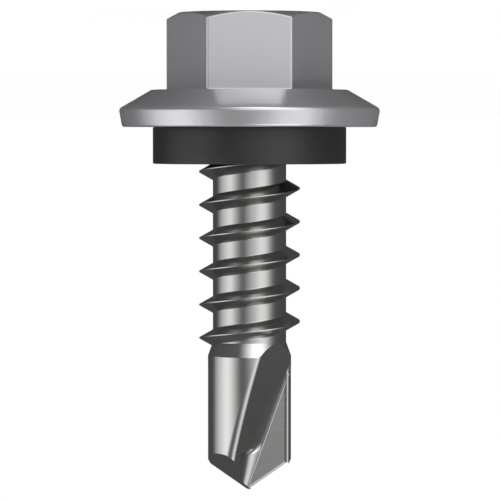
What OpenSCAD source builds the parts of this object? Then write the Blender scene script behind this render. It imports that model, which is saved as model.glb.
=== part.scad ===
// Self drilling screw with a hexagon washer head and a rubber sealing washer.
// It stands on its head: the flat crown is on the ground at z = 0, with its centre at the origin.
// +Z runs along the screw from the head to the drill point. All sizes are in millimetres.

/* [Hexagon] */
// Width across the flats
hex_af = 7.86; // [6:0.02:9.5]
// Height from the crown to the flange
hex_h = 4.2; // [2.5:0.1:7]
// Radius of the six upright edges
hex_edge_r = 0.14; // [0.05:0.01:0.5]
// How far the flat crown ends inside the flats
crown_inset = 0.18; // [0.05:0.01:0.8]
// Slope of the chamfer around the crown, from level
crown_slope = 30; // [15:1:45]

/* [Flange] */
// Largest diameter
flange_d = 14.24; // [13:0.02:18]
// Width of the level shoulder outside the corners of the hexagon
shoulder_w = 0.81; // [0.2:0.01:1.2]
// Slope of the cone from the shoulder to the rim, from level
flange_slope = 30; // [10:1:45]
// Height of the rim
rim_h = 1; // [0.6:0.02:2]
// Draft of the rim, from upright
rim_draft = 10; // [0:1:20]
// Radius of the rim's two edges
rim_edge_r = 0.14; // [0.05:0.01:0.25]

/* [Shank and thread] */
// Length under the head, from the flange's seat to the tip of the drill point
under_head_l = 19.8; // [17:0.1:60]
// Diameter of the shank, which is the root of the thread
root_d = 4; // [3.2:0.05:4.3]
// Outside diameter of the thread
thread_d = 5.5; // [4.8:0.05:6.5]
// Distance between two turns of the thread
pitch = 1.814; // [1.3:0.001:2.5]
// Angle between the two flanks of the thread
thread_angle = 58; // [40:1:70]
// Width of the blunt crest
crest_w = 0.06; // [0.02:0.01:0.2]
// Height above the seat at which the thread starts
thread_start = 0.35; // [0.2:0.05:3]
// Angle around the shank at which the thread starts
thread_start_turn = 307; // [0:1:359]
// How far the last turn climbs onto the neck of the drill
thread_climb = 0.37; // [0:0.01:0.6]
// Turn over which the thread rises at its start
thread_fade_in = 200; // [60:10:360]
// Turn over which the thread sinks at its end
thread_fade_out = 110; // [60:10:360]
// Radius of the fillet between the flange's seat and the shank
seat_fillet_r = 0.35; // [0.1:0.05:0.6]

/* [Drill point] */
// Diameter of the drill
drill_d = 4.54; // [4.36:0.02:4.76]
// Length of the drill from the wide end of its neck to the tip
drill_l = 7.34; // [5.5:0.01:12]
// Slope of the neck between the shank and the drill, from upright
neck_slope = 20; // [10:0.5:45]
// Thickness of the web between the two cutting faces
web = 0.33; // [0.15:0.01:0.8]
// Slope of the flank behind each cutting lip, from level
flank_slope = 42.7; // [30:0.1:55]
// How far the fall of the flank is turned from the line of the cutting lip
flank_turn = 41; // [20:1:60]

/* [Flutes] */
// Distance from the tip to the place where a flute reaches its full depth
flute_full = 1.86; // [1:0.01:3]
// Distance from the narrow end of the neck to the place where a flute runs out of the root
flute_gap = 0.29; // [0.1:0.01:1.5]
// How far the wall passes the axis at full depth
flute_past = 0.17; // [0:0.01:0.5]
// Direction that the wall faces at full depth, from the normal of the cutting face
wall_turn_full = 76; // [65:1:85]
// Direction that the wall faces where it runs out
wall_turn_out = 52; // [40:1:64]
// Radius between the wall and the cutting face along the flute
flute_r = 0.9; // [0.3:0.05:1.2]
// Radius between the wall and the cutting face at the tip
flute_tip_r = 0.45; // [0.2:0.05:0.8]

/* [Sealing washer] */
// Outside diameter
washer_d = 10.54; // [8:0.02:13]
// Thickness
washer_h = 2; // [1:0.1:4]
// Clearance between the washer's bore and the crests of the thread
bore_clearance = 0.05; // [0.02:0.01:0.3]
// Radius of the washer's two outer edges
washer_edge_r = 0.08; // [0.03:0.01:0.4]

/* [Hidden] */
$fn = 120;

// Steps of one rounded corner, of one turn of the thread and along a flute
corner_steps = 4;
thread_steps = 48;
runout_steps = 12;
point_steps = 4;

// Heights along the screw
hex_r = hex_af / 2 / cos(30);
shoulder_r = hex_r + shoulder_w;
rim_z = hex_h + (flange_d / 2 - shoulder_r) * tan(flange_slope);
seat_z = rim_z + rim_h;
seat_r = flange_d / 2 - rim_h * tan(rim_draft);
tip_z = seat_z + under_head_l;
drill_z = tip_z - drill_l;
neck_z = drill_z - (drill_d - root_d) / 2 / tan(neck_slope);

// Where each flute reaches its full depth and where it leaves the root circle
full_z = tip_z - flute_full;
out_z = neck_z + flute_gap;
// Height that a cutter reaches past the surface that it cuts
cut_past = 0.5;
// Depth to which the thread's ridge is sunk in the shank
thread_sink = 0.1;

function unit(v) = v / norm(v);

// Points of an arc of radius r in the corner a, b, c
function corner_arc(a, b, c, r) =
    let (
        u = unit(a - b),
        w = unit(c - b),
        half = acos(u * w) / 2,
        centre = b + unit(u + w) * r / sin(half),
        start = b + u * r / tan(half) - centre,
        end = b + w * r / tan(half) - centre,
        from = atan2(start.y, start.x),
        turn = atan2(start.x * end.y - start.y * end.x, start * end)
    )
    [for (i = [0 : corner_steps])
        let (angle = from + turn * i / corner_steps)
        centre + r * [cos(angle), sin(angle)]];

// Outline with the corner i rounded by radii[i], and left sharp where that is 0
function rounded(points, radii) =
    let (n = len(points))
    [for (i = [0 : n - 1])
        each radii[i] == 0
            ? [points[i]]
            : corner_arc(points[(i + n - 1) % n], points[i], points[(i + 1) % n], radii[i])];

// Solid through rings of points, which run counter-clockwise as seen from the last ring
module skin(rings) {
    n = len(rings[0]);
    last = len(rings) - 1;
    sides = [for (k = [0 : last - 1], i = [0 : n - 1])
        let (
            a = k * n + i,
            b = k * n + (i + 1) % n,
            c = b + n,
            d = a + n
        )
        each [[a, c, b], [a, d, c]]];
    first_cap = [for (i = [0 : n - 1]) i];
    last_cap = [for (i = [n - 1 : -1 : 0]) last * n + i];
    polyhedron([for (ring = rings) each ring], concat(sides, [first_cap, last_cap]));
}

// Hexagon with rounded upright edges and a chamfered crown, flat side towards -Y
module hexagon() {
    crown_r = hex_af / 2 - crown_inset;
    cone_h = (hex_r - crown_r) * tan(crown_slope);
    corners = [for (i = [0 : 5]) hex_r * [cos(60 * i), sin(60 * i)]];
    intersection() {
        linear_extrude(hex_h)
            polygon(rounded(corners, [for (i = [0 : 5]) hex_edge_r]));
        rotate_extrude()
            polygon([
                [0, 0],
                [crown_r, 0],
                [crown_r + cone_h / tan(crown_slope), cone_h],
                [hex_r, hex_h],
                [0, hex_h]
            ]);
    }
}

// Flange, shank, neck and drill as one turned blank
module blank() {
    root_r = root_d / 2;
    rotate_extrude()
        polygon(rounded(
            [
                [0, hex_h],
                [shoulder_r, hex_h],
                [flange_d / 2, rim_z],
                [seat_r, seat_z],
                [root_r, seat_z],
                [root_r, neck_z],
                [drill_d / 2, drill_z],
                [drill_d / 2, tip_z],
                [0, tip_z]
            ],
            [0, 0, rim_edge_r, rim_edge_r, seat_fillet_r, 0, 0, 0, 0]
        ));
}

// Share of its full section that the thread has at an angle from its start
function thread_share(angle, whole) =
    min(1, angle / thread_fade_in, (whole - angle) / thread_fade_out);

// Ridge of the right-hand thread, sunk in the shank at both ends
module thread() {
    in_r = root_d / 2 - thread_sink;
    ridge_h = thread_d / 2 - in_r;
    start_z = seat_z + thread_start;
    whole = 360 * (neck_z + thread_climb - start_z) / pitch;
    steps = ceil(whole / 360 * thread_steps);
    // The ends keep a small section that lies inside the shank
    least = thread_sink / ridge_h / 2;
    skin([for (k = [0 : steps])
        let (
            angle = whole * k / steps,
            share = max(least, thread_share(angle, whole)),
            z = start_z + pitch * angle / 360,
            out_r = in_r + ridge_h * share,
            crest = crest_w / 2 * share,
            base = crest + ridge_h * share * tan(thread_angle / 2),
            turn = thread_start_turn + angle
        )
        [for (p = [[in_r, -base], [in_r, base], [out_r, crest], [out_r, -crest]])
            [p.x * cos(turn), p.x * sin(turn), z + p.y]]]);
}

// Distance from the axis to the wall of the flute, and the direction that the wall faces
function runout_share(z) = max(0, (full_z - z) / (full_z - out_z));
function wall_offset(z) = -flute_past + (root_d / 2 + flute_past) * runout_share(z);
function wall_turn(z) = wall_turn_full + (wall_turn_out - wall_turn_full) * runout_share(z);
function floor_r(z) = flute_r + (flute_tip_r - flute_r) * max(0, z - full_z) / flute_full;

// Section of the flute at a height: the cutting face lies along X and the wall leans over it
function flute_section(z) =
    let (
        far = 1.5 * drill_d,
        turn = wall_turn(z),
        corner = [(wall_offset(z) - web / 2 * cos(turn)) / sin(turn), web / 2],
        wall_end = corner + far * [-cos(turn), sin(turn)],
        face_end = [far, web / 2]
    )
    [for (p = concat(corner_arc(wall_end, corner, face_end, floor_r(z)), [face_end, [far, far], wall_end]))
        [p.x, p.y, z]];

module flute() {
    heights = concat(
        [for (i = [0 : runout_steps]) neck_z + (full_z - neck_z) * i / runout_steps],
        [for (i = [1 : point_steps]) full_z + (tip_z + cut_past - full_z) * i / point_steps]
    );
    skin([for (z = heights) flute_section(z)]);
}

// Half-space over the flank that falls away behind one cutting lip
module flank() {
    wide = 4 * drill_d;
    translate([0, 0, tip_z])
        rotate([0, flank_slope, 180 - flank_turn])
            translate([-wide / 2, -wide / 2, 0])
                cube([wide, wide, drill_d]);
}

module screw() {
    color("silver")
        union() {
            hexagon();
            difference() {
                blank();
                for (side = [0, 180])
                    rotate([0, 0, side]) {
                        flank();
                        flute();
                    }
            }
            thread();
        }
}

// Rubber ring that seats on the flange, with the thread running up into its bore
module sealing_washer() {
    bore_d = thread_d + 2 * bore_clearance;
    color("dimgray")
        difference() {
            translate([0, 0, seat_z])
                rotate_extrude()
                    polygon(rounded(
                        [[0, 0], [washer_d / 2, 0], [washer_d / 2, washer_h], [0, washer_h]],
                        [0, washer_edge_r, washer_edge_r, 0]
                    ));
            translate([0, 0, seat_z - cut_past])
                cylinder(d = bore_d, h = washer_h + 2 * cut_past);
        }
}

screw();
sealing_washer();
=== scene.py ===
# Looks of the self drilling screw: the forged head, the thread, the drill point and the rubber washer.
# Sizes are in millimetres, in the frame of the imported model, and become metres in the meshes.
# Angles are in degrees. Lamps and the floor are placed in metres.

import bpy
import numpy as np
from mathutils import Matrix, Vector


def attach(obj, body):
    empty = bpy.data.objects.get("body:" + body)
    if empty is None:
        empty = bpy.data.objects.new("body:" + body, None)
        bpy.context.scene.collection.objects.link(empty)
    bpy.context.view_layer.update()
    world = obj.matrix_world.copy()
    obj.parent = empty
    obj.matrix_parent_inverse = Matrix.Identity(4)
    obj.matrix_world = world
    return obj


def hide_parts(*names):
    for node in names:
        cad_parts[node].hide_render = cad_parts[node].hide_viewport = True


MM = 0.001

# Head: the hexagon with its crown, and the flange with its rim
HEX_AF = 7.86
HEX_H = 4.2
HEX_EDGE_R = 0.14
HEX_FOOT_R = 0.04
CROWN_R = 3.84
CROWN_SLOPE = 27.5
CROWN_EDGE_R = 0.03
SHOULDER_W = 0.81
SHOULDER_START_R = 5.0
SHOULDER_EDGE_R = 0.15
FLANGE_R = 7.12
FLANGE_SLOPE = 30
RIM_H = 1.0
RIM_DRAFT = 10
CONE_EDGE_R = 0.24
SEAT_EDGE_R = 0.16
SEAT_FILLET_R = 0.35
HEX_R = HEX_AF / 2 / np.cos(np.radians(30))
SHOULDER_R = HEX_R + SHOULDER_W
RIM_Z = HEX_H + (FLANGE_R - SHOULDER_R) * np.tan(np.radians(FLANGE_SLOPE))
SEAT_Z = RIM_Z + RIM_H
SEAT_R = FLANGE_R - RIM_H * np.tan(np.radians(RIM_DRAFT))

# Shank and drill: lengths and places along the screw
ROOT_R = 2.0
DRILL_R = 2.27
UNDER_HEAD_L = 19.8
DRILL_L = 7.34
NECK_SLOPE = 20
TIP_Z = SEAT_Z + UNDER_HEAD_L
DRILL_Z = TIP_Z - DRILL_L
NECK_Z = DRILL_Z - (DRILL_R - ROOT_R) / np.tan(np.radians(NECK_SLOPE))
SHANK_SINK = 0.03
SHANK_END_Z = NECK_Z + SHANK_SINK

# Thread, with the turns over which it rises and sinks and the depth of its foot in the shank
CREST_R = 2.75
CREST_HALF_W = 0.03
CREST_EDGE_R = 0.027
PITCH = 1.814
THREAD_ANGLE = 58
THREAD_START = 0.35
THREAD_START_TURN = 307
THREAD_CLIMB = 0.37
FADE_IN = 200
FADE_OUT = 110
LEAST_SHARE = 0.02
FOOT_R = 0.06
FOOT_FLARE = 0.02
FOOT_SINK = 0.1
THREAD_STEP = 2.5

# Drill point, whose upper part is the one near the head, as the camera shows it
WEB = 0.33
FLANK_SLOPE = 42.7
FLANK_TURN = 41
CHISEL_R = 0.03
# A little under the true cosine between the two flanks, which takes 0.002 mm off the chisel edge
CHISEL_COSINE = -0.08
# The drill's mesh starts inside the shank. A core that the flutes don't cut, a little under the shank's
# surface, reaches as far into the neck.
OVERLAP = 0.3
CORE_GAP = 0.01
# Height from which the changes along the drill are counted
MID_Z = 21
# Rounded heel of the land, whose place across the drill is a quadratic in the height past that
HEEL_R = 0.46
HEEL_X = (-0.337, -0.26, 0.0085)
# Floor of the flute in its upper part, a wide arc that meets the cutting face at an angle
UPPER_R = 2.9
UPPER_R_GROWTH = 0.9
UPPER_R_RANGE = (0.5, 3.7)
UPPER_CREASE = 39
# Floor of the flute in its lower part, which almost runs into the cutting face
NARROWING_Z = (23.3, 23.8)
FLATTENING_Z = (23.38, 24.15)
LOWER_R = 1.0
LOWER_R_GROWTH = -0.2
LOWER_CREASE = 0.5
LOWER_CREASE_GROWTH = 5.5
# Bead along the line where the flute meets the cutting face
BEAD_X = 1.666
BEAD_SLOPE = -0.3617
BEAD_START_Z = 19.65
BEAD_END = 0.25
BEAD_STEP = 0.05
BEAD_RISE = 0.016
BEAD_SINK = 0.05
BEAD_LEFT = 0.12
BEAD_LOWER_LEFT = 0.05
BEAD_SEAM = 0.03
BEAD_RIGHT = 0.035
# Edges of the cutting face: a low ridge, and outside it a bevel
RIDGE_W = 0.11
RIDGE_TURN = 11
LIP_BEVEL_W = 0.12
LIP_BEVEL_TURN = 22.5
MARGIN_BEVEL_W = 0.24
MARGIN_BEVEL_TURN = 10
MARGIN_SIDE_W = 0.155
MARGIN_SIDE_TURN = 64

# Grid of the drill's mesh, which reaches a little past its surface on all sides
SIDE_REACH = DRILL_R + 0.11
GRID_START_Z = NECK_Z - 0.4
GRID_MIDDLE_Z = (DRILL_Z + 0.2, TIP_Z - 2.5)
GRID_END_Z = TIP_Z + 0.18
FINE_CELL = 0.04
NECK_CELL = 0.05
COARSE_CELL = 0.1

# Washer
WASHER_R = 5.27
WASHER_H = 2.0
WASHER_BORE_R = 2.3
WASHER_EDGE_R = 0.08
BORE_EDGE_R = 0.2
WASHER_POINTS = 256

# Camera
EYE_DISTANCE = 193.8
EYE_Z = 6.519
EYE_X = -0.026
AIM_Z = 12.93
FIELD = 8.048

# Light and floor
LAMP_AIM = (0, 0, 0.012)
LAMP_SIZE = 0.3
MATT_LIGHT = 0.6
FLOOR_REACH = 1.5
FLOOR_SELF_LIT = 0.96

# Longest step along a turned profile
LONGEST_STEP = 0.5


def direction(angle):
    """Unit vector at an angle, or one column for each of several angles."""
    radians = np.radians(angle)
    return np.array([np.cos(radians), np.sin(radians)])


def make_camera():
    """Camera about level with the flange's seat, rolled so that the head is at the top."""
    data = bpy.data.cameras.new("camera")
    data.angle = np.radians(FIELD)
    data.clip_start = 0.01
    camera = bpy.data.objects.new("camera", data)
    bpy.context.scene.collection.objects.link(camera)
    tilt = np.arctan2(AIM_Z - EYE_Z, EYE_DISTANCE)
    right = (-1, 0, 0)
    up = (0, np.sin(tilt), -np.cos(tilt))
    back = (0, -np.cos(tilt), -np.sin(tilt))
    turn = Matrix((right, up, back)).transposed().to_4x4()
    place = Matrix.Translation((EYE_X * MM, -EYE_DISTANCE * MM, EYE_Z * MM))
    camera.matrix_world = place @ turn
    bpy.context.scene.camera = camera


# Profiles


def corner_arc(before, corner, after, radius, steps):
    """Points of an arc of a radius in the corner of three points."""
    before = np.array(before, float)
    corner = np.array(corner, float)
    after = np.array(after, float)
    u = (before - corner) / np.linalg.norm(before - corner)
    w = (after - corner) / np.linalg.norm(after - corner)
    half = np.arccos(np.clip(u @ w, -1, 1)) / 2
    bisector = (u + w) / np.linalg.norm(u + w)
    centre = corner + bisector * radius / np.sin(half)
    start = corner + u * radius / np.tan(half) - centre
    end = corner + w * radius / np.tan(half) - centre
    turn = np.arctan2(start[0] * end[1] - start[1] * end[0], start @ end)
    points = []
    for angle in np.linspace(0, turn, steps + 1):
        c = np.cos(angle)
        s = np.sin(angle)
        points.append(centre + [c * start[0] - s * start[1], s * start[0] + c * start[1]])
    return points


def rounded(points, radii, steps=6, closed=False):
    """Line through points with its corners rounded. The two ends of an open line stay as they are."""
    made = []
    last = len(points) - 1
    for i, (point, radius) in enumerate(zip(points, radii)):
        is_end = i in (0, last) and not closed
        if radius == 0 or is_end:
            made.append(np.array(point, float))
        else:
            made += corner_arc(points[i - 1], point, points[(i + 1) % (last + 1)], radius, steps)
    return made


def in_steps(line):
    """Points of a line without its last one, with more between them where a step would be too long."""
    made = []
    for a, b in zip(line, line[1:]):
        parts = int(np.ceil(np.linalg.norm(b - a) / LONGEST_STEP))
        made += [a + (b - a) * k / parts for k in range(parts)]
    return made


# Meshes of rings


def add_mesh(name, points, faces, normals=None, sharp=None):
    """Object of points in millimetres. It has a normal for each corner of its faces, or else it is smooth
    but for edges that are sharper than an angle."""
    mesh = bpy.data.meshes.new(name)
    mesh.from_pydata((np.asarray(points) * MM).tolist(), [], faces)
    mesh.shade_smooth()
    if sharp is not None:
        mesh.set_sharp_from_angle(angle=np.radians(sharp))
    if normals is not None:
        mesh.normals_split_custom_set(normals.tolist())
    made = bpy.data.objects.new(name, mesh)
    bpy.context.scene.collection.objects.link(made)
    return made


def ring(around, radius, height):
    """Ring of points at a radius and a height in one or more directions from the axis."""
    flat = np.atleast_1d(radius)[:, None] * around
    return np.column_stack([flat, np.broadcast_to(height, len(flat))])


def ring_faces(count, rings, closed=False):
    """Quads between rings of so many points. Where the rings are closed, the last one joins the first."""
    faces = []
    for k in range(rings if closed else rings - 1):
        this = k * count
        following = (k + 1) % rings * count
        for i in range(count):
            j = (i + 1) % count
            faces.append((this + i, this + j, following + j, following + i))
    return faces


def add_bar(name, rings, sharp):
    """Closed mesh through rings, which run counter-clockwise as seen from the last of them."""
    count = len(rings[0])
    last = (len(rings) - 1) * count
    faces = ring_faces(count, len(rings))
    faces.append(tuple(range(count - 1, -1, -1)))
    faces.append(tuple(range(last, last + count)))
    return add_mesh(name, np.concatenate(rings), faces, sharp=sharp)


# Head


def hexagon_outline():
    """Outline of the hexagon with rounded corners, with points close together beside each corner."""
    half_side = (HEX_AF / 2 - HEX_EDGE_R) * np.tan(np.radians(30))
    corner_r = (HEX_AF / 2 - HEX_EDGE_R) / np.cos(np.radians(30))
    to_corner = np.array([0, 0.25, 0.5, 0.75, 0.9, 0.96, 0.985, 1])
    along = np.concatenate([-to_corner[:0:-1], to_corner])
    points = []
    for flat in range(30, 390, 60):
        out = direction(flat)
        left = direction(flat + 90)
        points += [out * HEX_AF / 2 + left * half_side * share for share in along]
        centre = direction(flat + 30) * corner_r
        points += [centre + HEX_EDGE_R * direction(flat + turn) for turn in np.arange(7.5, 60, 7.5)]
    return np.array(points)


def crown_drop(reach):
    """Height of the chamfer around the crown at a distance from the axis."""
    return (reach - CROWN_R) * np.tan(np.radians(CROWN_SLOPE))


def crown_rings(around, reach):
    """Rings of the flat crown and its chamfer, with their edges rounded in short steps."""
    soft = CROWN_EDGE_R
    drop = crown_drop(reach)
    places = [(CROWN_R * share, 0) for share in (0.5, 0.9, 0.985)]
    places.append((CROWN_R + 0.4 * soft, 0.1 * soft))
    places.append((CROWN_R + 1.2 * soft, crown_drop(CROWN_R + 1.2 * soft)))
    places += [(CROWN_R + (reach - CROWN_R) * share, drop * share) for share in (0.25, 0.5, 0.75)]
    places.append((reach - soft, crown_drop(reach - soft)))
    places.append((reach - 0.4 * soft, drop - 0.1 * soft))
    places.append((reach - 0.12 * soft, drop + 0.35 * soft))
    places.append((reach, drop + soft))
    return [ring(around, radius, height) for radius, height in places]


def flat_rings(around, reach):
    """Rings down the six flats, close together at both ends, and round the fillet on the shoulder."""
    start = crown_drop(reach) + CROWN_EDGE_R
    whole = HEX_H - HEX_FOOT_R - start
    shares = (0.012, 0.1, 0.3, 0.5, 0.7, 0.9, 0.988, 1)
    rings = [ring(around, reach, start + whole * share) for share in shares]
    for angle in (18, 36, 54, 72, 90):
        inward, rise = HEX_FOOT_R * direction(angle)
        rings.append(ring(around, reach + HEX_FOOT_R - inward, HEX_H - HEX_FOOT_R + rise))
    return rings


def turned_rings(around):
    """Rings of the flange, the seat and the shank. The first one lies clear of the hexagon's corners."""
    profile = rounded(
        [
            (SHOULDER_START_R, HEX_H),
            (SHOULDER_R, HEX_H),
            (FLANGE_R, RIM_Z),
            (SEAT_R, SEAT_Z),
            (ROOT_R, SEAT_Z),
            (ROOT_R, SHANK_END_Z),
        ],
        [0, SHOULDER_EDGE_R, CONE_EDGE_R, SEAT_EDGE_R, SEAT_FILLET_R, 0],
        steps=8,
    )
    return [ring(around, radius, height) for radius, height in in_steps(profile) + profile[-1:]]


def make_head():
    """Hexagon, flange and shank as one closed mesh, with a fan at each end."""
    outline = hexagon_outline()
    reach = np.linalg.norm(outline, axis=1)
    around = outline / reach[:, None]
    rings = crown_rings(around, reach) + flat_rings(around, reach) + turned_rings(around)
    points = np.vstack([*rings, (0, 0, 0), (0, 0, SHANK_END_Z)])
    count = len(around)
    faces = ring_faces(count, len(rings))
    crown = len(points) - 2
    end = len(points) - 1
    last = (len(rings) - 1) * count
    for i in range(count):
        j = (i + 1) % count
        faces.append((crown, j, i))
        faces.append((end, last + i, last + j))
    return add_mesh("head", points, faces, sharp=28)


# Thread


def ridge_section():
    """Section of the ridge from its foot on the side of the tip to its foot on the side of the head, as
    radius over the root and height over the crest's middle."""
    height = CREST_R - ROOT_R
    base = CREST_HALF_W + height * np.tan(np.radians(THREAD_ANGLE / 2))
    half = rounded(
        [(0, base + FOOT_R), (0, base), (height, CREST_HALF_W), (height, 0)],
        [0, FOOT_R, CREST_EDGE_R, 0],
        steps=4,
    )
    # The foot goes down into the shank just outside its fillet
    half[0] = half[1] + [-FOOT_SINK, FOOT_FLARE]
    half = np.array(half)
    return np.vstack([half, half[-2::-1] * [1, -1]])


def make_thread():
    """Ridge of the right-hand thread, with both ends sunk in the shank."""
    out, along = ridge_section().T
    start_z = SEAT_Z + THREAD_START
    whole = 360 * (NECK_Z + THREAD_CLIMB - start_z) / PITCH
    rings = []
    for angle in np.linspace(0, whole, int(whole / THREAD_STEP) + 1):
        share = min(1, angle / FADE_IN, (whole - angle) / FADE_OUT)
        share = max(LEAST_SHARE, np.sin(share * np.pi / 2))
        radius = ROOT_R + out * share
        radius[[0, -1]] = ROOT_R - FOOT_SINK
        height = start_z + PITCH * angle / 360 + along * share
        rings.append(ring(direction(THREAD_START_TURN + angle), radius, height))
    return add_bar("thread", rings, sharp=35)


# Drill point, as a distance that is negative inside the metal


def round_max(a, b, radius, cosine=0.0):
    """Intersection of two solids given by distances, with the edge between them rounded.
    The cosine is that of the angle between the two surfaces' normals."""
    u = a + radius
    v = b + radius
    square = (u * u + v * v - 2 * cosine * u * v) / (1 - cosine * cosine)
    beside_edge = (u > cosine * v) & (v > cosine * u) & (u + v > 0)
    return np.where(beside_edge, np.sqrt(np.maximum(square, 0)) - radius, np.maximum(a, b))


def ray_distance(x, y, along):
    """Distance from points to the ray from the origin along a direction."""
    reach = np.maximum(x * along[0] + y * along[1], 0)
    return np.hypot(x - reach * along[0], y - reach * along[1])


def smooth_share(value, start, end):
    """Share that rises smoothly from 0 at the start to 1 at the end."""
    share = np.clip((value - start) / (end - start), 0, 1)
    return share * share * (3 - 2 * share)


def bead_x(z):
    """Distance from the axis to the line where the flute meets the cutting face."""
    return BEAD_X + BEAD_SLOPE * (z - MID_Z)


def bead_foot(z):
    """Width and height of the bead on the side of the flute."""
    lower = smooth_share(z, *FLATTENING_Z)
    return BEAD_LEFT + (BEAD_LOWER_LEFT - BEAD_LEFT) * lower, BEAD_RISE * lower


def flute_floor(z):
    """Centre and radius of the flute's round floor in a section of the drill."""
    upper_radius = np.clip(UPPER_R + UPPER_R_GROWTH * (z - MID_Z), *UPPER_R_RANGE)
    lower_radius = LOWER_R + LOWER_R_GROWTH * (z - NARROWING_Z[1])
    radius = upper_radius + (lower_radius - upper_radius) * smooth_share(z, *NARROWING_Z)
    lower_crease = LOWER_CREASE + LOWER_CREASE_GROWTH * (z - FLATTENING_Z[1])
    crease = UPPER_CREASE + (lower_crease - UPPER_CREASE) * smooth_share(z, *FLATTENING_Z)
    up, across = direction(crease)
    foot_w, foot_h = bead_foot(z)
    return bead_x(z) - foot_w + radius * across, WEB / 2 + foot_h + radius * up, radius


def wall_normal(z, centre_x, centre_y, radius):
    """Normal of the flute's wall, which touches both its round floor and the rounded heel."""
    past_mid = z - MID_Z
    heel_x = HEEL_X[0] + HEEL_X[1] * past_mid + HEEL_X[2] * past_mid**2
    heel_y = np.sqrt((DRILL_R - HEEL_R) ** 2 - heel_x**2)
    dx = centre_x - heel_x
    dy = centre_y - heel_y
    share = np.clip((radius + HEEL_R) / np.hypot(dx, dy), -1, 1)
    turn = np.arctan2(dy, dx) + np.arccos(share)
    return np.cos(turn), np.sin(turn)


def hollow_distance(x, y, radius, normal):
    """Distance to a hollow with a straight wall that bends into a round floor about the origin."""
    inside = np.minimum(y, x * normal[0] + y * normal[1])
    floor_ray = ray_distance(x, y, (1.0, 0.0))
    wall_ray = ray_distance(x, y, (-normal[1], normal[0]))
    outside = np.minimum(floor_ray, wall_ray)
    return np.where(inside > 0, -inside, outside) - radius


def tilted(turn, outward, upward):
    """Distance to a plane that is turned from a face, with its normal upward, towards a direction outward."""
    across, along = direction(turn)
    return outward * along + upward * across


def cutting_face(px, face, flank):
    """Distance to the web with its ridges and bevels along the margin and the cutting lip."""
    margin = px - DRILL_R
    ridges = np.minimum(
        tilted(-RIDGE_TURN, margin + MARGIN_BEVEL_W + RIDGE_W, face),
        tilted(-RIDGE_TURN, flank + LIP_BEVEL_W + RIDGE_W, face),
    )
    height = RIDGE_W * np.tan(np.radians(RIDGE_TURN))
    fall = (MARGIN_BEVEL_W - MARGIN_SIDE_W) * np.tan(np.radians(MARGIN_BEVEL_TURN))
    bevels = [
        tilted(LIP_BEVEL_TURN, flank + LIP_BEVEL_W, face - height),
        tilted(MARGIN_BEVEL_TURN, margin + MARGIN_BEVEL_W, face - height),
        tilted(MARGIN_SIDE_TURN, margin + MARGIN_SIDE_W, face - height + fall),
    ]
    return np.maximum(np.minimum(face, ridges), np.maximum.reduce(bevels))


def fluted_side(px, py, z, flank):
    """Distance to the turned blank with one flute and its cutting face, which looks towards +y."""
    r = np.hypot(px, py)
    land = r - DRILL_R
    slope = np.radians(NECK_SLOPE)
    neck = (r - ROOT_R - (z - NECK_Z) * np.tan(slope)) * np.cos(slope)
    core = np.maximum(r - ROOT_R + CORE_GAP, z - NECK_Z - OVERLAP)
    centre_x, centre_y, radius = flute_floor(z)
    normal = wall_normal(z, centre_x, centre_y, radius)
    wall = -hollow_distance(px - centre_x, py - centre_y, radius, normal)
    web = cutting_face(px, py - WEB / 2, flank)
    # The bead covers the seam between the flute on its left and the cutting face on its right
    past_seam = px - bead_x(z) + BEAD_SEAM
    # Kept away from -1 and 1, where land and wall are parallel and have no edge between them
    cosine = np.clip((px * normal[0] + py * normal[1]) / np.maximum(r, 0.1), -0.8, 0.95)
    heel = np.maximum(round_max(land, wall, HEEL_R, cosine), past_seam)
    fluted = np.minimum(heel, np.maximum(land, web))
    body = np.minimum(np.maximum(neck, fluted), core)
    uncut = np.minimum(np.maximum(wall, past_seam), web)
    return np.maximum(body, uncut)


def drill_distance(p):
    """Distance to the drill and its neck."""
    x, y, z = p
    fall = direction(180 - FLANK_TURN)
    steep = direction(FLANK_SLOPE)
    across = (x * fall[0] + y * fall[1]) * steep[1]
    drop = (z - TIP_Z) * steep[0]
    solid = round_max(across + drop, drop - across, CHISEL_R, CHISEL_COSINE)
    for side in (1, -1):
        solid = np.maximum(solid, fluted_side(side * x, side * y, z, drop - side * across))
    return np.maximum(solid, NECK_Z - OVERLAP - z)


def make_bead(name, side):
    """Low ridge along the line where the flute on one side meets the cutting face."""
    level = WEB / 2
    rings = []
    for z in np.arange(BEAD_START_Z, TIP_Z - BEAD_END, BEAD_STEP):
        middle = bead_x(z)
        foot_w, foot_h = bead_foot(z)
        section = [
            (middle - foot_w, level - BEAD_SINK),
            (middle + BEAD_RIGHT, level - BEAD_SINK),
            (middle + BEAD_RIGHT, level),
            (middle, level + BEAD_RISE),
            (middle - foot_w, level + foot_h),
        ]
        rings.append(np.array([(side * px, side * py, z) for px, py in section]))
    return add_bar(name, rings, sharp=5)


# Mesh of a distance field


def gradient(field, points):
    """Gradient of a distance field at points, by central differences."""
    step = 0.002
    parts = []
    for shift in step * np.eye(3)[..., None]:
        parts.append((field(points + shift) - field(points - shift)) / (2 * step))
    return np.array(parts)


def normals_of(field, points):
    """Unit normals of a distance field at points."""
    slope = gradient(field, points)
    return slope / np.linalg.norm(slope, axis=0)


def crossings(field, start, end, start_solid):
    """Points between start and end where the surface passes, by halving the way between them."""
    halvings = 8
    for _ in range(halvings):
        middle = (start + end) / 2
        same = (field(middle) < 0) == start_solid
        start = np.where(same, middle, start)
        end = np.where(same, end, middle)
    return (start + end) / 2


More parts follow.
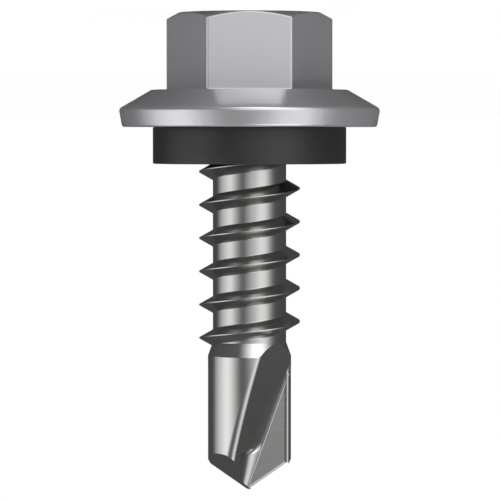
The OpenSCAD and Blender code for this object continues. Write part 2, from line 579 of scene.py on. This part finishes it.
def crossed_edges(field, grid, solid, axis):
    """Edges of a grid along one axis that the surface crosses: the four cells around each, in the order of
    a face that looks outward, and the place and the normal of each crossing."""
    step = np.zeros((3, 1), int)
    step[axis] = 1
    at = np.array(np.nonzero(np.diff(solid, axis=axis)))
    from_solid = solid[tuple(at)]
    start = grid[(slice(None), *at)]
    end = grid[(slice(None), *(at + step))]
    place = crossings(field, start, end, from_solid)
    shape = tuple(n - 1 for n in solid.shape)
    first, second = (k for k in range(3) if k != axis)
    cells = []
    for i, j in ((1, 1), (0, 1), (0, 0), (1, 0)):
        cell = at.copy()
        cell[first] -= i
        cell[second] -= j
        cells.append(np.ravel_multi_index(cell, shape))
    quads = np.array(cells).T
    # Around an edge along y the cells come in the other order
    turned = from_solid if axis == 1 else ~from_solid
    quads[turned] = quads[turned][:, ::-1]
    return quads, place, normals_of(field, place)


def meeting_points(cells, places, normals):
    """Point of each cell where the tangent planes at its crossings meet, held a little towards the middle
    of the crossings, as the planes may be nearly parallel."""
    hold = 0.02
    count = cells.max() + 1

    def gathered(values):
        return np.bincount(cells, values, count)

    hits = gathered(np.ones(len(cells)))
    middle = np.array([gathered(values) for values in places.T]) / hits
    reach = (normals * (places - middle.T[cells])).sum(axis=1)
    matrix = np.empty((count, 3, 3))
    for i in range(3):
        for j in range(3):
            matrix[:, i, j] = gathered(normals[:, i] * normals[:, j]) / hits
    wanted = np.array([gathered(values * reach) / hits for values in normals.T]).T
    moved = np.linalg.solve(matrix + hold * np.eye(3), wanted[..., None])[..., 0]
    return middle + moved.T


def net(field, xs, ys, zs):
    """Closed surface of a distance field on a grid, with one point in each cell that it passes through.
    The point lies where the surface's tangent planes in the cell meet, so that sharp edges stay sharp."""
    grid = np.array(np.meshgrid(xs, ys, zs, indexing="ij"))
    solid = field(grid) < 0
    quads, places, normals = zip(*(crossed_edges(field, grid, solid, axis) for axis in range(3)))
    used, faces = np.unique(np.concatenate(quads), return_inverse=True)
    faces = faces.reshape(-1, 4)
    # Each crossing counts in the four cells around its edge
    places = np.repeat(np.concatenate(places, axis=1).T, 4, axis=0)
    normals = np.repeat(np.concatenate(normals, axis=1).T, 4, axis=0)
    points = meeting_points(faces.ravel(), places, normals)
    cell = np.unravel_index(used, tuple(n - 1 for n in solid.shape))
    for axis, lines in enumerate((xs, ys, zs)):
        points[axis] = np.clip(points[axis], lines[cell[axis]], lines[cell[axis] + 1])
    return points, faces


def corner_normals(field, points, faces):
    """Normal for each corner of each face: the point's own, or the face's side of a sharp edge."""
    inward = 0.35
    same_side = np.cos(np.radians(8))
    corners = points[:, faces]
    centres = corners.mean(axis=2, keepdims=True)
    beside = (corners + inward * (centres - corners)).reshape(3, -1)
    side = normals_of(field, beside)
    own = normals_of(field, points)[:, faces.ravel()]
    close = (side * own).sum(axis=0) > same_side
    return np.where(close, own, side).T


def spans(*parts):
    """Grid lines through spans of (start, end, spacing)."""
    lines = [np.array([parts[0][0]])]
    for start, end, spacing in parts:
        lines.append(np.linspace(start, end, int(round((end - start) / spacing)) + 1)[1:])
    return np.concatenate(lines)


def make_drill():
    """Drill point with its neck, on a grid that is coarser along the plain middle."""
    side = spans((-SIDE_REACH, SIDE_REACH, FINE_CELL))
    zs = spans(
        (GRID_START_Z, GRID_MIDDLE_Z[0], NECK_CELL),
        (*GRID_MIDDLE_Z, COARSE_CELL),
        (GRID_MIDDLE_Z[1], GRID_END_Z, FINE_CELL),
    )
    points, faces = net(drill_distance, side, side, zs)
    # Two steps down the slope bring the points onto the surface
    least_slope = 0.25
    for _ in range(2):
        slope = gradient(drill_distance, points)
        size = np.maximum((slope**2).sum(axis=0), least_slope)
        points = points - slope * drill_distance(points) / size
    normals = corner_normals(drill_distance, points, faces)
    return add_mesh("drill_point", points.T, faces.tolist(), normals=normals)


# Washer


def make_washer():
    """Rubber ring, whose bore is narrower than the thread, as the rubber closes round it."""
    free_z = SEAT_Z + WASHER_H
    outline = rounded(
        [(WASHER_BORE_R, SEAT_Z), (WASHER_R, SEAT_Z), (WASHER_R, free_z), (WASHER_BORE_R, free_z)],
        [WASHER_EDGE_R, WASHER_EDGE_R, WASHER_EDGE_R, BORE_EDGE_R],
        closed=True,
    )
    around = direction(np.linspace(0, 360, WASHER_POINTS, endpoint=False)).T
    rings = [ring(around, radius, height) for radius, height in in_steps(outline + outline[:1])]
    faces = ring_faces(WASHER_POINTS, len(rings), closed=True)
    return add_mesh("washer_ring", np.concatenate(rings), faces, sharp=35)


# Materials


class Nodes:
    """Short way to add nodes and join them."""

    def __init__(self, tree):
        self.tree = tree
        tree.nodes.clear()

    def add(self, kind, inputs=None, **settings):
        """Node with its settings and its inputs, each of which is another node's output or a value."""
        node = self.tree.nodes.new(kind)
        for name, value in settings.items():
            setattr(node, name, value)
        for name, value in (inputs or {}).items():
            if isinstance(value, bpy.types.NodeSocket):
                self.tree.links.new(value, node.inputs[name])
            else:
                node.inputs[name].default_value = value
        return node

    def math(self, operation, a, b=0.0, c=0.0):
        node = self.add("ShaderNodeMath", {0: a, 1: b, 2: c}, operation=operation)
        return node.outputs[0]

    def product(self, first, *others):
        for other in others:
            first = self.math("MULTIPLY", first, other)
        return first

    def step(self, value, low, high, start=0.0, end=1.0):
        """Smooth step of a value from start at low to end at high."""
        node = self.add(
            "ShaderNodeMapRange",
            {"Value": value, "From Min": low, "From Max": high, "To Min": start, "To Max": end},
            interpolation_type="SMOOTHSTEP",
        )
        return node.outputs[0]

    def mix(self, share, first, second):
        """Mix of two shaders by the share of the second."""
        node = self.add("ShaderNodeMixShader", {"Fac": share})
        self.tree.links.new(first.outputs[0], node.inputs[1])
        self.tree.links.new(second.outputs[0], node.inputs[2])
        return node.outputs[0]


def new_material(name):
    material = bpy.data.materials.new(name)
    material.use_nodes = True
    return material, Nodes(material.node_tree)


def grained_material(name, scale, detail, colours, rough, bump, settings):
    """Material whose colour, roughness and fine relief follow one noise, finer or coarser along the axes by
    a scale. The colours and the roughness are given for its low and its high values."""
    material, nodes = new_material(name)
    place = nodes.add("ShaderNodeTexCoord").outputs["Object"]
    place = nodes.add("ShaderNodeMapping", {"Vector": place, "Scale": scale}).outputs[0]
    noise = nodes.add("ShaderNodeTexNoise", {"Vector": place, "Scale": 1.0, "Detail": detail})
    grain = noise.outputs["Fac"]
    shade = nodes.add("ShaderNodeValToRGB", {"Fac": grain})
    for element, colour in zip(shade.color_ramp.elements, colours):
        element.color = (*colour, 1)
    strength, distance = bump
    relief = nodes.add("ShaderNodeBump", {"Strength": strength, "Distance": distance, "Height": grain})
    inputs = {
        "Base Color": shade.outputs[0],
        "Roughness": nodes.step(grain, 0.3, 0.7, *rough),
        "Normal": relief.outputs[0],
    }
    shader = nodes.add("ShaderNodeBsdfPrincipled", inputs | settings)
    nodes.add("ShaderNodeOutputMaterial", {"Surface": shader.outputs[0]})
    return material


def plated_steel(name, shades, rough):
    """Bright plated steel, a little warm, with a fine grain round the screw as turning leaves it."""
    scale = (350, 350, 14000)
    colours = [(shade, 0.992 * shade, 0.976 * shade) for shade in shades]
    return grained_material(name, scale, 4, colours, rough, (0.01, 0.00001), {"Metallic": 1.0})


def satin_steel():
    """Satin coat of the forged head, a little cool."""
    scale = (2500, 2500, 9000)
    colours = [(0.585, 0.583, 0.607), (0.625, 0.623, 0.649)]
    bump = (0.004, 0.00001)
    return grained_material("satin_steel", scale, 4, colours, (0.25, 0.27), bump, {"Metallic": 0.85})


def black_rubber():
    """Matt black rubber with a fine moulded grain."""
    scale = (9000, 9000, 9000)
    colours = [(0.009, 0.0085, 0.008), (0.017, 0.0165, 0.0155)]
    bump = (0.15, 0.00002)
    return grained_material("black_rubber", scale, 3, colours, (0.34, 0.42), bump, {"IOR": 1.5})


# Floor and light


def make_floor():
    """Pale floor that is white to the camera where it is lit, and keeps a soft shadow."""
    mesh = bpy.data.meshes.new("floor")
    corners = [(FLOOR_REACH * x, FLOOR_REACH * y, 0) for x, y in ((-1, -1), (1, -1), (1, 1), (-1, 1))]
    mesh.from_pydata(corners, [], [(0, 1, 2, 3)])
    floor = bpy.data.objects.new("floor", mesh)
    bpy.context.scene.collection.objects.link(floor)
    material, nodes = new_material("pale_floor")
    path = nodes.add("ShaderNodeLightPath")
    seen = nodes.math("MAXIMUM", path.outputs["Is Camera Ray"], path.outputs["Is Glossy Ray"])
    seen = nodes.math("MAXIMUM", seen, path.outputs["Is Transmission Ray"])
    matt = nodes.add("ShaderNodeBsdfDiffuse", {"Color": (0.9, 0.9, 0.9, 1)})
    white = nodes.add("ShaderNodeEmission", {"Color": (1, 1, 1, 1), "Strength": 1.0})
    surface = nodes.mix(nodes.math("MULTIPLY", seen, FLOOR_SELF_LIT), matt, white)
    nodes.add("ShaderNodeOutputMaterial", {"Surface": surface})
    mesh.materials.append(material)
    # Metal mirrors the studio and not the floor under it
    floor.visible_glossy = False


def left_box(nodes, azimuth, elevation):
    """Soft box at the left, in two steps of brightness, of which the nearer one leans."""
    lean = nodes.math("MULTIPLY_ADD", elevation, -0.75, azimuth)
    far_step = nodes.step(azimuth, -124, -92, 0, 0.56)
    near_step = nodes.step(lean, -98, -62, 0, 0.48)
    near_end = nodes.step(azimuth, -66, -20, 1, 0)
    top = nodes.step(elevation, 4, 22, 1, 0)
    bottom = nodes.step(elevation, -62, -44)
    return nodes.product(nodes.math("ADD", far_step, near_step), near_end, top, bottom)


def right_box(nodes, azimuth, elevation):
    """Brighter soft box at the right, whose near side leans and which has no top."""
    lean = nodes.math("MULTIPLY_ADD", elevation, 0.6, azimuth)
    near_end = nodes.step(lean, -17, 57)
    far_end = nodes.step(azimuth, 22, 90, 1, 0)
    bottom = nodes.step(elevation, -62, -44)
    brightness = nodes.step(elevation, 0, 40, 1.43, 1.86)
    return nodes.product(near_end, far_end, bottom, brightness)


def low_strip(nodes, azimuth, elevation):
    """Bright strip low at the right, which lights the bevel along the cutting lip."""
    top = nodes.step(elevation, -36, -26, 1, 0)
    bottom = nodes.step(elevation, -62, -48)
    left_end = nodes.step(azimuth, -4, 16, 0, 1.9)
    right_end = nodes.step(azimuth, 40, 70, 1, 0)
    return nodes.product(top, bottom, left_end, right_end)


def front_panel(nodes, azimuth, elevation):
    """Panel between the boxes, over the camera."""
    bottom = nodes.step(elevation, -2, 3, 0, 0.62)
    top = nodes.step(elevation, 12, 22, 1, 0)
    sides = nodes.step(nodes.math("ABSOLUTE", azimuth), 9, 17, 1, 0)
    return nodes.product(bottom, top, sides)


def room_light(nodes, toward, elevation, steepness):
    """Dim room, a little brighter behind the camera, over the head and low in front."""
    open_side = nodes.math("MAXIMUM", nodes.step(toward, -0.2, 0.3), nodes.step(elevation, 0, 30))
    steep_light = nodes.product(nodes.step(steepness, 42, 60, 0, 0.1), open_side)
    return nodes.math("ADD", nodes.math("MULTIPLY_ADD", toward, 0.037, 0.105), steep_light)


def studio_glow(nodes, depth):
    """Brightness of the studio by direction and by glossy depth. In the picture azimuth runs to the right
    from the camera, and elevation up towards the head."""
    place = nodes.add("ShaderNodeTexCoord").outputs["Generated"]
    split = nodes.add("ShaderNodeSeparateXYZ", {0: place})
    across, toward, up = (nodes.math("MULTIPLY", part, -1.0) for part in split.outputs)
    azimuth = nodes.math("DEGREES", nodes.math("ARCTAN2", across, toward))
    elevation = nodes.math("DEGREES", nodes.math("ARCSINE", up))
    steepness = nodes.math("ABSOLUTE", elevation)
    boxes = nodes.math("ADD", left_box(nodes, azimuth, elevation), right_box(nodes, azimuth, elevation))
    boxes = nodes.math("ADD", boxes, low_strip(nodes, azimuth, elevation))
    boxes = nodes.math("ADD", boxes, front_panel(nodes, azimuth, elevation))
    # Metal that is mirrored in metal shows of the boxes only their upper and lower ends
    direct = nodes.math("LESS_THAN", depth, 1.5)
    shown = nodes.math("MAXIMUM", direct, nodes.step(steepness, 34, 44))
    return nodes.math("MULTIPLY_ADD", boxes, shown, room_light(nodes, toward, elevation, steepness))


def make_world():
    """White to the camera, a studio with soft boxes to metal and an even light to matt surfaces."""
    world = bpy.data.worlds.new("studio")
    bpy.context.scene.world = world
    world.use_nodes = True
    nodes = Nodes(world.node_tree)
    path = nodes.add("ShaderNodeLightPath")
    glossy = path.outputs["Is Glossy Ray"]
    even = nodes.math("MULTIPLY", nodes.math("SUBTRACT", 1.0, glossy), MATT_LIGHT)
    strength = nodes.math("MULTIPLY_ADD", studio_glow(nodes, path.outputs["Glossy Depth"]), glossy, even)
    studio = nodes.add("ShaderNodeBackground", {"Color": (1, 1, 1, 1), "Strength": strength})
    white = nodes.add("ShaderNodeBackground", {"Color": (1, 1, 1, 1), "Strength": 1.0})
    surface = nodes.mix(path.outputs["Is Camera Ray"], studio, white)
    nodes.add("ShaderNodeOutputWorld", {"Surface": surface})


def add_lamp(name, place, power):
    """Soft square lamp aimed at the middle of the screw, which metal doesn't mirror."""
    data = bpy.data.lights.new(name, "AREA")
    data.size = LAMP_SIZE
    data.energy = power
    lamp = bpy.data.objects.new(name, data)
    bpy.context.scene.collection.objects.link(lamp)
    lamp.location = place
    lamp.rotation_euler = (Vector(place) - Vector(LAMP_AIM)).to_track_quat("Z", "Y").to_euler()
    lamp.visible_glossy = False
    lamp.visible_camera = False


# Scene


def dress(piece, material, node):
    """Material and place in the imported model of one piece, which stands for a node."""
    piece.data.materials.append(material)
    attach(piece, "root")
    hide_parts(node)


def polish_shank(head, material):
    """Second material for the part of the head that is past the flange's seat."""
    head.data.materials.append(material)
    past_seat = (SEAT_Z + 0.01) * MM
    for face in head.data.polygons:
        if face.center.z > past_seat:
            face.material_index = 1


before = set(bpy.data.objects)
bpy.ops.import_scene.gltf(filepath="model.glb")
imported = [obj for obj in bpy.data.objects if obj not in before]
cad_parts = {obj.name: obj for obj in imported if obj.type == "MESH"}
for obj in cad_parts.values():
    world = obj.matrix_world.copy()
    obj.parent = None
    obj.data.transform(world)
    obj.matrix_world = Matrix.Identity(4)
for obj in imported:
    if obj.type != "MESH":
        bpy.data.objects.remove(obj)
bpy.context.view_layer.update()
make_camera()
make_world()
add_lamp("key", (0.25, -0.3, 0.3), 1.5)
add_lamp("fill", (-0.3, -0.25, 0.25), 2.2)
make_floor()
shank_steel = plated_steel("shank_steel", (0.60, 0.64), (0.21, 0.24))
drill_steel = plated_steel("drill_steel", (0.65, 0.70), (0.15, 0.175))
head = make_head()
dress(head, satin_steel(), "screw")
polish_shank(head, shank_steel)
dress(make_thread(), shank_steel, "screw")
dress(make_drill(), drill_steel, "screw")
dress(make_bead("bead_back", 1), drill_steel, "screw")
dress(make_bead("bead_front", -1), drill_steel, "screw")
dress(make_washer(), black_rubber(), "sealing_washer")
bpy.context.scene.view_settings.view_transform = "Standard"
bpy.context.view_layer.update()
